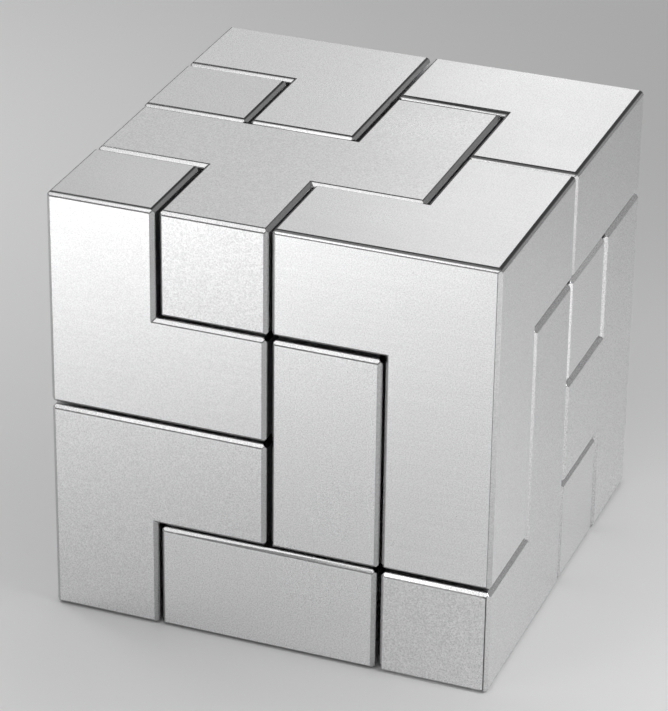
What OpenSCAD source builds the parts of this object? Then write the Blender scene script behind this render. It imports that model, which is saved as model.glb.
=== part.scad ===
// Dissection puzzle cube of thirteen metal pieces.
//
// The cube is divided into 4 x 4 x 4 equal cells. Twelve pieces fill five cells each and one
// piece fills four, and no two pieces have the same shape. A cell is named by its place
// [right, back, up], counted from 0. A bar is the block that runs from one cell to another, and
// each piece is the union of the bars that cover its cells.

/* [Cube] */
// Pitch of the cells: the assembled cube is four of these along each edge, less one gap
cell = 20; // [10:0.5:40]
// Gap between two neighbouring pieces that both sit in the middle of their places
fit_gap = 0.4; // [0.2:0.05:0.8]
// Gap that is left where two loose pieces are pushed towards each other
tight_gap = 0.1; // [0.04:0.02:0.18]

/* [Edges] */
// Leg of the chamfer that breaks every outer edge of the pieces
edge_chamfer = 0.7; // [0.2:0.1:2]

/* [Hidden] */

// Number of cells along each edge of the cube
cells_per_edge = 4;
// How far a loosely seated piece can sit off the middle of its place
play = (fit_gap - tight_gap) / 2;
// The cube stands on its bottom face, centred on the origin
cube_corner = [-cells_per_edge * cell / 2, -cells_per_edge * cell / 2, -fit_gap / 2];

// Prism that stands on the XY plane, its lowest corner at the origin and its upright edges cut off
module chamfered_prism(width, depth, height, leg) {
    outline = [[leg, 0], [width - leg, 0], [width, leg], [width, depth - leg],
               [width - leg, depth], [leg, depth], [0, depth - leg], [0, leg]];
    linear_extrude(height = height) polygon(outline);
}

// Block with its twelve edges chamfered, its lowest corner at the origin
module chamfered_block(size, leg) {
    intersection() {
        chamfered_prism(size.x, size.y, size.z, leg);
        // lies along Y
        translate([0, size.y, 0]) rotate([90, 0, 0])
            chamfered_prism(size.x, size.z, size.y, leg);
        // lies along X
        rotate([90, 0, 90]) chamfered_prism(size.y, size.z, size.x, leg);
    }
}

// Bar from one cell to another, both included, with half a gap left free on every side
module bar(first, last) {
    spare = [fit_gap, fit_gap, fit_gap];
    size = (last - first + [1, 1, 1]) * cell - spare;
    translate(first * cell + spare / 2) chamfered_block(size, edge_chamfer);
}

// A piece in its place. lean says which way it is pushed off the middle of that place, from
// -1 to 1 along each axis. The pieces that stand on the table don't lean up or down.
module piece(lean) {
    translate(cube_corner + lean * play) union() children();
}

// Stands at the upper left of the front, and hooks down into the middle of the cube
module front_left_hook() {
    color("silver") piece([-1, -1, 0]) {
        bar([0, 0, 2], [0, 0, 3]);
        bar([0, 0, 2], [1, 0, 2]);
        bar([1, 0, 2], [1, 1, 2]);
        bar([1, 1, 1], [1, 1, 2]);
    }
}

// Lies flat in the top layer: a row of three with a cell in front of it and one behind it
module top_fork() {
    color("silver") piece([0, 1, -1]) {
        bar([0, 1, 3], [2, 1, 3]);
        bar([1, 0, 3], [1, 1, 3]);
        bar([2, 1, 3], [2, 2, 3]);
    }
}

// Post down the front right edge, with an arm to the left and an arm to the back at its top
module front_right_corner() {
    color("silver") piece([1, 0, 1]) {
        bar([3, 0, 1], [3, 0, 3]);
        bar([2, 0, 3], [3, 0, 3]);
        bar([3, 0, 3], [3, 1, 3]);
    }
}

// Steps up along the back of the cube and turns forward at the right
module back_zigzag() {
    color("silver") piece([1, -0.5, 1]) {
        bar([1, 3, 2], [2, 3, 2]);
        bar([2, 3, 2], [2, 3, 3]);
        bar([2, 3, 3], [3, 3, 3]);
        bar([3, 2, 3], [3, 3, 3]);
    }
}

// Post down the back left edge, with a crooked arm in the top layer
module back_left_crank() {
    color("silver") piece([-0.5, 0, 0]) {
        bar([0, 3, 1], [0, 3, 3]);
        bar([0, 3, 3], [1, 3, 3]);
        bar([1, 2, 3], [1, 3, 3]);
    }
}

// Full-height post in the left face, with a foot to the back
module left_long_ell() {
    color("silver") piece([-1, -0.5, 0]) {
        bar([0, 2, 0], [0, 2, 3]);
        bar([0, 2, 0], [0, 3, 0]);
    }
}

// The four-cell piece: it reaches in from the front face and turns up at its front end
module inner_short_ell() {
    color("silver") piece([1, 0, -0.5]) {
        bar([2, 0, 1], [2, 2, 1]);
        bar([2, 0, 1], [2, 0, 2]);
    }
}

// Stands at the lower left of the front, with an arm to the right and a step up behind
module front_left_twist() {
    color("silver") piece([-1, -1, 0]) {
        bar([0, 0, 0], [0, 0, 1]);
        bar([0, 0, 1], [1, 0, 1]);
        bar([0, 0, 1], [0, 1, 1]);
        bar([0, 1, 1], [0, 1, 2]);
    }
}

// Lies flat in the bottom layer: a block of four cells with one more at its left
module bottom_block() {
    color("silver") piece([-1, 0, 0]) {
        bar([1, 0, 0], [2, 1, 0]);
        bar([0, 1, 0], [2, 1, 0]);
    }
}

// Runs along the foot of the right face, up it, and into the cube at its top
module right_crank() {
    color("silver") piece([1, -0.5, 0]) {
        bar([3, 0, 0], [3, 1, 0]);
        bar([3, 1, 0], [3, 1, 2]);
        bar([2, 1, 2], [3, 1, 2]);
    }
}

// Stands inside the cube and reaches out to the right face: two equal arms at a right angle
module core_vee() {
    color("silver") piece([0, 0, 0]) {
        bar([1, 2, 0], [1, 2, 2]);
        bar([1, 2, 2], [3, 2, 2]);
    }
}

// Post down the back right edge, with arms to the front and to the left at its middle
module back_right_star() {
    color("silver") piece([1, 1, 0]) {
        bar([3, 3, 0], [3, 3, 2]);
        bar([3, 2, 1], [3, 3, 1]);
        bar([2, 3, 1], [3, 3, 1]);
    }
}

// Steps across the bottom layer from the right face to the back, and turns up at its end
module bottom_zigzag() {
    color("silver") piece([0, 1, 0]) {
        bar([2, 2, 0], [3, 2, 0]);
        bar([2, 2, 0], [2, 3, 0]);
        bar([1, 3, 0], [2, 3, 0]);
        bar([1, 3, 0], [1, 3, 1]);
    }
}

front_left_hook();
top_fork();
front_right_corner();
back_zigzag();
back_left_crank();
left_long_ell();
inner_short_ell();
front_left_twist();
bottom_block();
right_crank();
core_vee();
back_right_star();
bottom_zigzag();
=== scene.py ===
"""Looks of the thirteen-piece metal puzzle cube: satin blasted metal on a pale studio floor.

The pieces are the CAD nodes themselves. This script gives each one its metal, and builds the
floor, the lights and the camera round them. Lengths are in metres, in the frame of the CAD model.
"""
import math

import bpy
from mathutils import Matrix, Vector


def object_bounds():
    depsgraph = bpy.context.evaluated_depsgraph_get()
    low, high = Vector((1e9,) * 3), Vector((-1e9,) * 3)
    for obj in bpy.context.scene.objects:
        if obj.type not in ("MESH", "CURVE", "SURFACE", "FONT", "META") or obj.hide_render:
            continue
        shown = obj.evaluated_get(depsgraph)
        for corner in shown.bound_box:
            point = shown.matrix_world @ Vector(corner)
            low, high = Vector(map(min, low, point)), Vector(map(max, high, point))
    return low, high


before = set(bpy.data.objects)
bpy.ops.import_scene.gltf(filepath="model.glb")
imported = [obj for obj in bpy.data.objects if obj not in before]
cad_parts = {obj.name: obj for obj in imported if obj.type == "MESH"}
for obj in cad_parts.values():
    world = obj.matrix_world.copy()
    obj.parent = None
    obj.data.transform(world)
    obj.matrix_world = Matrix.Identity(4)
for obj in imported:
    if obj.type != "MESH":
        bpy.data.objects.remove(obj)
cad_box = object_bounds()
cube_low, cube_high = cad_box
cube_side = cube_high.x - cube_low.x
cube_foot = Vector(((cube_low.x + cube_high.x) / 2, (cube_low.y + cube_high.y) / 2, cube_low.z))


def direction(azimuth, elevation):
    """Unit vector from the cube towards a place round it: azimuth 0 is in front, 90 to the right."""
    turn = math.radians(azimuth)
    rise = math.radians(elevation)
    level = math.cos(rise)
    return Vector((math.sin(turn) * level, -math.cos(turn) * level, math.sin(rise)))


def link(thing):
    bpy.context.scene.collection.objects.link(thing)
    return thing


# ---------------------------------------------------------------- camera
CLIP_RATIO = 50


def make_camera(azimuth, elevation, roll, distance, aim, lens):
    """Camera that looks at aim from that side. A positive roll turns the picture clockwise."""
    camera = link(bpy.data.objects.new("camera", bpy.data.cameras.new("camera")))
    back = direction(azimuth, elevation)
    upright = (-back).to_track_quat("-Z", "Y").to_matrix()
    tipped = upright @ Matrix.Rotation(math.radians(roll), 3, "Z")
    camera.matrix_world = Matrix.Translation(aim + back * distance) @ tipped.to_4x4()
    camera.data.lens = lens
    camera.data.clip_start = distance / CLIP_RATIO
    camera.data.clip_end = distance * CLIP_RATIO
    bpy.context.scene.camera = camera


make_camera(azimuth=20.70, elevation=27.29, roll=0.75, distance=7.75 * cube_side,
            aim=cube_foot + Vector((-0.00343, 0, 0.03704)), lens=176.6)


# ---------------------------------------------------------------- studio
PAPER_COLOUR = (0.88, 0.88, 0.88, 1)
PAPER_ROUGHNESS = 0.9
PAPER_SHINE = 0.2


def floor_paper():
    """Matt white paper."""
    material = bpy.data.materials.new("floor_paper")
    material.use_nodes = True
    shader = material.node_tree.nodes["Principled BSDF"]
    shader.inputs["Base Color"].default_value = PAPER_COLOUR
    shader.inputs["Roughness"].default_value = PAPER_ROUGHNESS
    shader.inputs["Specular IOR Level"].default_value = PAPER_SHINE
    return material


def make_floor(reach):
    mesh = bpy.data.meshes.new("floor")
    corners = [(x, y, cube_foot.z) for x, y in
               ((-reach, -reach), (reach, -reach), (reach, reach), (-reach, reach))]
    mesh.from_pydata(corners, [], [(0, 1, 2, 3)])
    mesh.materials.append(floor_paper())
    link(bpy.data.objects.new("floor", mesh))


def make_softbox(name, place, aim, side, power, spread=180):
    """Square soft light at place, turned to aim. spread narrows its beam, as a grid does."""
    data = bpy.data.lights.new(name, "AREA")
    data.shape = "SQUARE"
    data.size = side
    data.energy = power
    data.spread = math.radians(spread)
    light = link(bpy.data.objects.new(name, data))
    turn = (place - aim).to_track_quat("Z", "Y").to_matrix().to_4x4()
    light.matrix_world = Matrix.Translation(place) @ turn


def make_world(brightness):
    world = bpy.data.worlds.new("studio")
    world.use_nodes = True
    background = world.node_tree.nodes["Background"]
    background.inputs["Color"].default_value = (1, 1, 1, 1)
    background.inputs["Strength"].default_value = brightness
    bpy.context.scene.world = world


# Pools of light on the floor: place right and back of the cube's foot in metres, and power in watts
FLOOR_POOLS = {
    "front_left": (-0.24, -0.30, 0.46),
    "front": (-0.10, -0.35, 0.30),
    "right": (0.24, -0.06, 0.28),
    "left": (-0.24, 0.06, 0.12),
    "back": (-0.10, 0.62, 0.45),
}
# Their lights: height and side in metres, and spread of the beam in degrees
POOL_LIGHT_HEIGHT = 0.45
POOL_LIGHT_SIDE = 0.1
POOL_LIGHT_SPREAD = 70

# Soft lights round the cube: azimuth, elevation, side in metres, and power in watts
SOFTBOXES = {
    "back": (-175, 30, 0.3, 0.125),
    "back_left": (-160, 30, 0.3, 0.095),
    "key": (-34, 56, 0.2, 0.24),
}
SOFTBOX_DISTANCE = 0.7
WORLD_BRIGHTNESS = 0.36
FLOOR_REACH = 3


def make_studio():
    """World glow, gridded lights that light pools on the floor, and soft lights above the cube.

    The upright faces show the floor, so the pools give them their shading. The top shows the
    lights behind it, and the chamfers that face forward and up show the key.
    """
    make_floor(FLOOR_REACH)
    for name, (x, y, power) in FLOOR_POOLS.items():
        foot = cube_foot + Vector((x, y, 0))
        above = foot + Vector((0, 0, POOL_LIGHT_HEIGHT))
        make_softbox("floor_" + name, above, foot, POOL_LIGHT_SIDE, power, POOL_LIGHT_SPREAD)
    middle = cube_foot + Vector((0, 0, cube_side / 2))
    for name, (azimuth, elevation, side, power) in SOFTBOXES.items():
        place = middle + direction(azimuth, elevation) * SOFTBOX_DISTANCE
        make_softbox(name, place, middle, side, power)
    make_world(WORLD_BRIGHTNESS)
    bpy.context.scene.view_settings.view_transform = "Standard"


make_studio()


# ---------------------------------------------------------------- metal
class Nodes:
    """Short names for building one material's node tree."""

    def __init__(self, material):
        self.tree = material.node_tree
        self.made = self.tree.nodes

    def add(self, kind, values=(), **settings):
        node = self.made.new(kind)
        for name, value in settings.items():
            setattr(node, name, value)
        for socket, value in dict(values).items():
            if isinstance(value, bpy.types.NodeSocket):
                self.tree.links.new(value, node.inputs[socket])
            else:
                node.inputs[socket].default_value = value
        return node

    def noise(self, where, scale, detail):
        """Smooth random values from 0 to 1 with features about 1 / scale metres wide."""
        return self.add("ShaderNodeTexNoise", {"Vector": where, "Scale": scale,
                                               "Detail": detail}).outputs["Fac"]

    def math(self, operation, first, second=0.0, third=0.0):
        return self.add("ShaderNodeMath", {0: first, 1: second, 2: third},
                        operation=operation).outputs[0]

    def swing(self, value, amount):
        """A value from 0 to 1 as a factor that swings by amount either side of 1."""
        return self.math("MULTIPLY_ADD", value, 2 * amount, 1 - amount)

    def ramp(self, value, start, full):
        """0 where value is at start, 1 where it is at full, and smooth between them."""
        return self.add("ShaderNodeMapRange",
                        {"Value": value, "From Min": start, "From Max": full},
                        interpolation_type="SMOOTHSTEP").outputs[0]


SOFT_EDGE = 0.0022 * cube_side
SOFT_EDGE_SEGMENTS = 2
# In degrees. Edges that turn by more are softened, and those between face and chamfer turn by 45
SOFTENED_ANGLE = 25


def soften_edges(piece):
    """Round the sharp lines between the faces and the chamfers, as blasting does."""
    join = piece.modifiers.new("join", "WELD")
    join.merge_threshold = SOFT_EDGE / 100
    bevel = piece.modifiers.new("soft_edges", "BEVEL")
    bevel.width = SOFT_EDGE
    bevel.segments = SOFT_EDGE_SEGMENTS
    bevel.limit_method = "ANGLE"
    bevel.angle_limit = math.radians(SOFTENED_ANGLE)
    bevel.harden_normals = True


METAL_COLOUR = (0.86, 0.86, 0.865)

# How many features of each pattern there are in a metre; for the brushing, along and across it
GRAIN_SCALE = 4600
COARSE_SCALE = 2000
CLOUD_SCALE = 95
SMEAR_SCALE = 38
STREAK_SCALES = (45, 1500)
PIT_SCALE = 230

# A pit's edge and core, by distance from its middle in units of its cell, and the odds against one
PIT_EDGE = 0.035
PIT_CORE = 0.015
PIT_ODDS_AGAINST = 0.8

# Squareness of a point that is wholly on a face, and of one that is wholly off it
ON_FACE = 0.999
OFF_FACE = 0.96

# How much each pattern changes the colour, as a share of it. The rim's change is painted shade
GRAIN_SHADE = 0.34
COARSE_SHADE = 0.015
CLOUD_SHADE = 0.015
STREAK_SHADE = 0.04
PIT_SHADE = -0.35
RIM_PAINTED_SHADE = -0.85

# The roughness of clean faces, and what each pattern adds to it
CLEAN_ROUGHNESS = 0.22
SMEAR_ROUGHNESS = 0.10
COARSE_ROUGHNESS = 0.03
STREAK_ROUGHNESS = 0.03
EDGE_ROUGHNESS = -0.10

# Height of the grain in metres, and of the other patterns in heights of the grain
GRAIN_HEIGHT = 0.000008
COARSE_HEIGHT = 0.15
STREAK_HEIGHT = 0.4
PIT_HEIGHT = -2.0
EDGE_FLATTENING = -0.9

# The painted shade round the rim: a dark line that stands in for the shade in the gaps at the cube's
# top and down its front right edge. Each pair of values is where it starts to show and where it is
# full, in rim depths in from the cube's top, front and right face
RIM_DEPTH = 0.006 * cube_side
RIM_BELOW_TOP = (1, 0.6)
RIM_BEHIND_FRONT = (0.5, 0.3)
RIM_INSIDE_RIGHT = (3, 2)


def off_face_mask(n, normal):
    """0 on the faces, which are square to an axis, and 1 on the chamfers and the worn lines."""
    size = n.add("ShaderNodeVectorMath", {0: normal}, operation="ABSOLUTE").outputs[0]
    axes = n.add("ShaderNodeSeparateXYZ", {0: size}).outputs
    squareness = n.math("MAXIMUM", n.math("MAXIMUM", axes[0], axes[1]), axes[2])
    return n.ramp(squareness, ON_FACE, OFF_FACE)


def rim_painted_shade_mask(n, spot, off_face):
    """1 on the painted shade: a dark line round the rim of the cube's top and down its front right
    edge.
    """
    axes = n.add("ShaderNodeSeparateXYZ", {0: spot}).outputs
    top = n.ramp(axes[2], *[cube_high.z - share * RIM_DEPTH for share in RIM_BELOW_TOP])
    front = n.ramp(axes[1], *[cube_low.y + share * RIM_DEPTH for share in RIM_BEHIND_FRONT])
    right = n.ramp(axes[0], *[cube_high.x - share * RIM_DEPTH for share in RIM_INSIDE_RIGHT])
    rim_painted_shade = n.math("MAXIMUM", top, n.math("MULTIPLY", front, right))
    return n.math("MULTIPLY", rim_painted_shade, off_face)


def pit_mask(n, place):
    """1 in small round pits, scattered here and there."""
    cells = n.add("ShaderNodeTexVoronoi", {"Vector": place, "Scale": PIT_SCALE}).outputs
    odds = n.add("ShaderNodeSeparateColor", {0: cells["Color"]}).outputs[0]
    return n.math("MULTIPLY", n.ramp(cells["Distance"], PIT_EDGE, PIT_CORE),
                  n.math("GREATER_THAN", odds, PIT_ODDS_AGAINST))


def blasted_metal(name, shift, along, brushed, painted_light_tone, chamfer_painted_shade, grainy):
    """Satin metal with a fine blasted grain over faint brushing, and painted shade on its chamfers
    and round the cube's rim.

    shift moves its patterns and along is the axis of the brushing. brushed and grainy say how
    strongly brushing and grain show, painted_light_tone how bright this piece is beside the others,
    which is painted light and shade, and chamfer_painted_shade how bright its chamfers are beside
    its faces, darkened by painted shade that stands in for the shade in the gaps between the pieces.
    """
    material = bpy.data.materials.new(name)
    material.use_nodes = True
    n = Nodes(material)
    shader = n.made["Principled BSDF"]
    coordinates = n.add("ShaderNodeTexCoord").outputs
    place = n.add("ShaderNodeMapping", {"Vector": coordinates["Object"],
                                        "Location": shift}).outputs[0]
    lengthwise, crosswise = STREAK_SCALES
    stretch = [lengthwise if axis == along else crosswise for axis in "XYZ"]
    stretched = n.add("ShaderNodeMapping", {"Vector": place, "Scale": stretch}).outputs[0]

    off_face = off_face_mask(n, coordinates["Normal"])
    # painted shade: a dark line round the cube's rim
    rim_painted_shade = rim_painted_shade_mask(n, coordinates["Object"], off_face)
    pit = pit_mask(n, place)
    grain = n.noise(place, GRAIN_SCALE, detail=1)
    coarse = n.noise(place, COARSE_SCALE, detail=1)
    cloud = n.noise(place, CLOUD_SCALE, detail=3)
    smear = n.noise(place, SMEAR_SCALE, detail=2)
    streak = n.noise(stretched, 1, detail=3)

    # colour: every pattern makes it a little brighter or darker. Painted shade darkens the chamfers
    # and the rim, and the piece's brightness is painted light and shade
    shade = n.swing(grain, GRAIN_SHADE * grainy)
    shade = n.math("MULTIPLY", shade, n.swing(coarse, COARSE_SHADE * grainy))
    shade = n.math("MULTIPLY", shade, n.swing(cloud, CLOUD_SHADE))
    shade = n.math("MULTIPLY", shade, n.swing(streak, STREAK_SHADE * brushed))
    # pits are marks in the metal; the chamfer and rim factors are painted shade for the gaps between
    # the pieces
    for mask, change in ((pit, PIT_SHADE), (off_face, chamfer_painted_shade - 1), (rim_painted_shade, RIM_PAINTED_SHADE)):
        shade = n.math("MULTIPLY", shade, n.math("MULTIPLY_ADD", mask, change, 1.0))
    # the piece's brightness is painted light and shade
    colour = n.add("ShaderNodeVectorMath", {0: [channel * painted_light_tone for channel in METAL_COLOUR],
                                            "Scale": shade}, operation="SCALE").outputs[0]

    # roughness: smears dull the faces, and the edges are polished
    rough = CLEAN_ROUGHNESS
    for pattern, change in ((smear, SMEAR_ROUGHNESS), (coarse, COARSE_ROUGHNESS),
                            (streak, STREAK_ROUGHNESS * brushed), (off_face, EDGE_ROUGHNESS)):
        rough = n.math("MULTIPLY_ADD", pattern, change, rough)

    # bump: the same grain, streaks and pits, shallower on the edges
    height = grain
    for pattern, change in ((coarse, COARSE_HEIGHT), (streak, STREAK_HEIGHT * brushed),
                            (pit, PIT_HEIGHT)):
        height = n.math("MULTIPLY_ADD", pattern, change, height)
    height = n.math("MULTIPLY", height, n.math("MULTIPLY_ADD", off_face, EDGE_FLATTENING, 1.0))
    bump = n.add("ShaderNodeBump", {"Height": height, "Strength": 1.0, "Distance": GRAIN_HEIGHT})

    shader.inputs["Metallic"].default_value = 1
    n.tree.links.new(colour, shader.inputs["Base Color"])
    n.tree.links.new(rough, shader.inputs["Roughness"])
    n.tree.links.new(bump.outputs[0], shader.inputs["Normal"])
    return material


# Each piece: axis of its brushing, how strongly that shows, its brightness, which is painted light
# and shade, the brightness of its chamfers, darkened by painted shade for the gaps between pieces,
# and how strongly its grain shows
FINISH_AND_PAINTED_SHADE = {
    "front_left_hook": ("X", 0.8, 0.98, 0.54, 0.8),
    "top_fork": ("X", 0.2, 0.95, 0.54, 1.1),
    "front_right_corner": ("X", 1.0, 1.00, 0.68, 1.0),
    "back_zigzag": ("X", 0.6, 1.01, 0.70, 1.2),
    "back_left_crank": ("X", 0.3, 1.00, 0.60, 1.3),
    "left_long_ell": ("Z", 0.4, 0.94, 0.60, 1.2),
    "inner_short_ell": ("Z", 0.3, 0.99, 0.54, 1.2),
    "front_left_twist": ("X", 0.3, 0.95, 0.60, 1.2),
    "bottom_block": ("X", 0.3, 0.99, 0.58, 1.3),
    "right_crank": ("Z", 0.4, 0.95, 0.90, 1.4),
    "core_vee": ("Z", 0.5, 1.02, 1.00, 1.6),
    "back_right_star": ("Z", 0.4, 1.00, 0.85, 1.8),
    "bottom_zigzag": ("Y", 0.4, 0.99, 0.85, 1.6),
}
# How far one piece's patterns are shifted from those of the piece before it, in metres
PATTERN_STEP = Vector((0.37, 0.71, 0.53))

for number, (piece_name, finish_and_painted_shade) in enumerate(FINISH_AND_PAINTED_SHADE.items()):
    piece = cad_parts[piece_name]
    soften_edges(piece)
    metal = blasted_metal("metal_" + piece_name, PATTERN_STEP * number, *finish_and_painted_shade)
    piece.data.materials.clear()
    piece.data.materials.append(metal)
